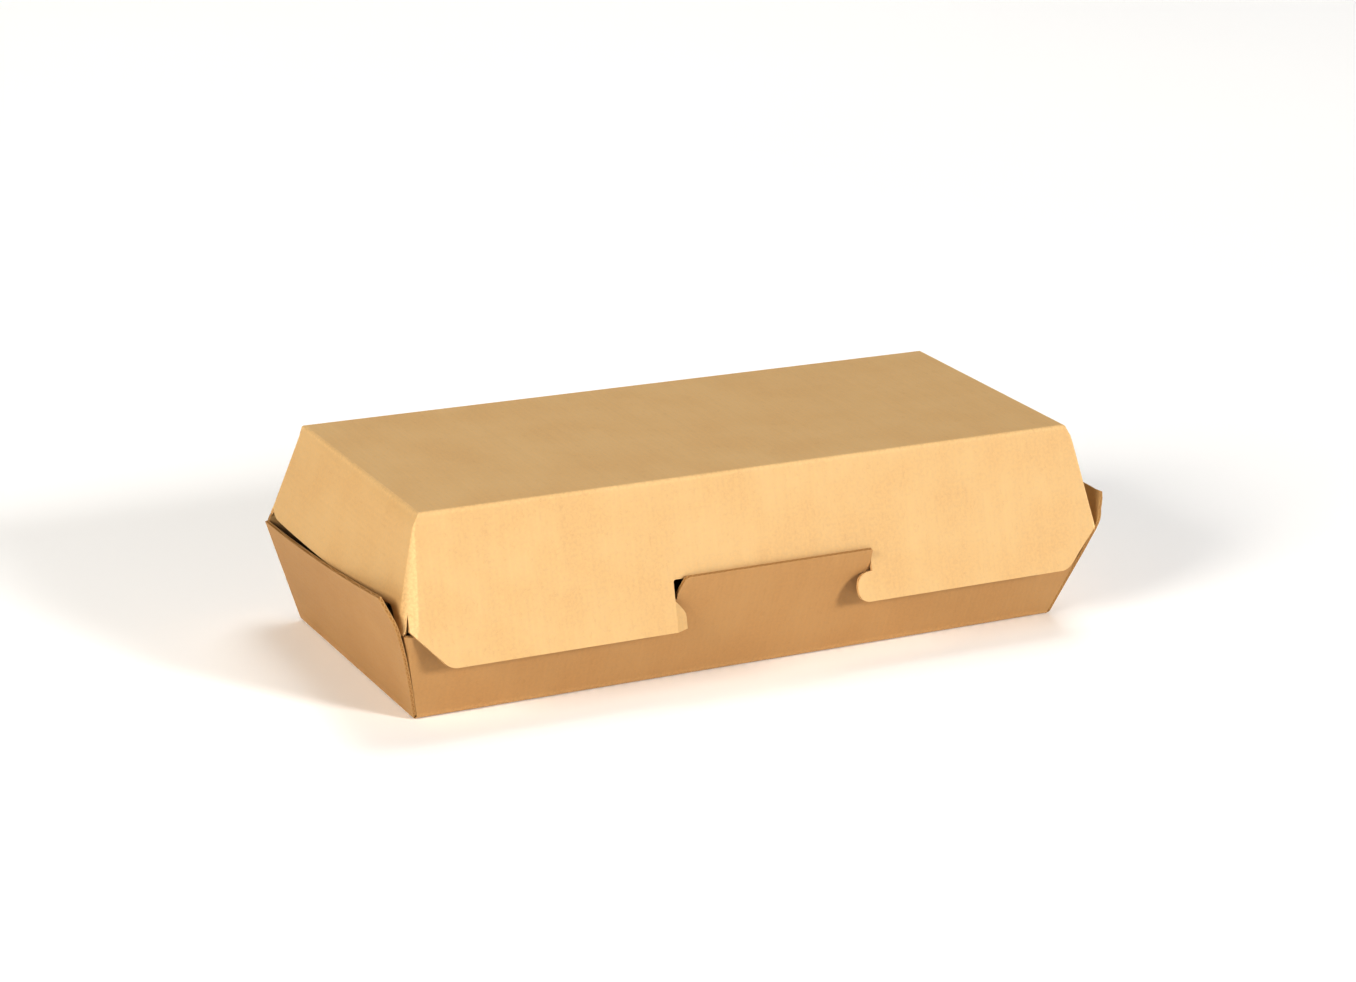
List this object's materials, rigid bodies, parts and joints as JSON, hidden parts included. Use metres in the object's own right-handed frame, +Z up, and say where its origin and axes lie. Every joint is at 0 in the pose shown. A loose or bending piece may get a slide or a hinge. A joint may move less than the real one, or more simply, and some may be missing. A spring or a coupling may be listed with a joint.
{
  "type": "takeaway box",
  "caption": "Long takeaway box folded from kraft micro-flute board: a tray with leaning walls and a hinged lid whose flap locks over a tongue.",
  "frame": {"origin": "centre of the underside of the tray's floor", "axes": "+X along the box, +Y from the lock at the front to the hinge at the back, +Z up from the floor to the lid"},
  "size_m": [0.2662, 0.1179, 0.0694],
  "materials": {
    "kraft_board": "matte",
    "kraft_board_lid": "matte"
  },
  "bodies": {
    "tray": {"tray": "kraft_board"},
    "lid": {"lid": "kraft_board_lid"}
  },
  "joints": [
    {"name": "lid_hinge", "type": "hinge", "parent": "tray", "child": "lid", "pos_m": [0, 0.057, 0.0347], "axis": [-1, 0, 0], "range_deg": [0, 180]}
  ]
}
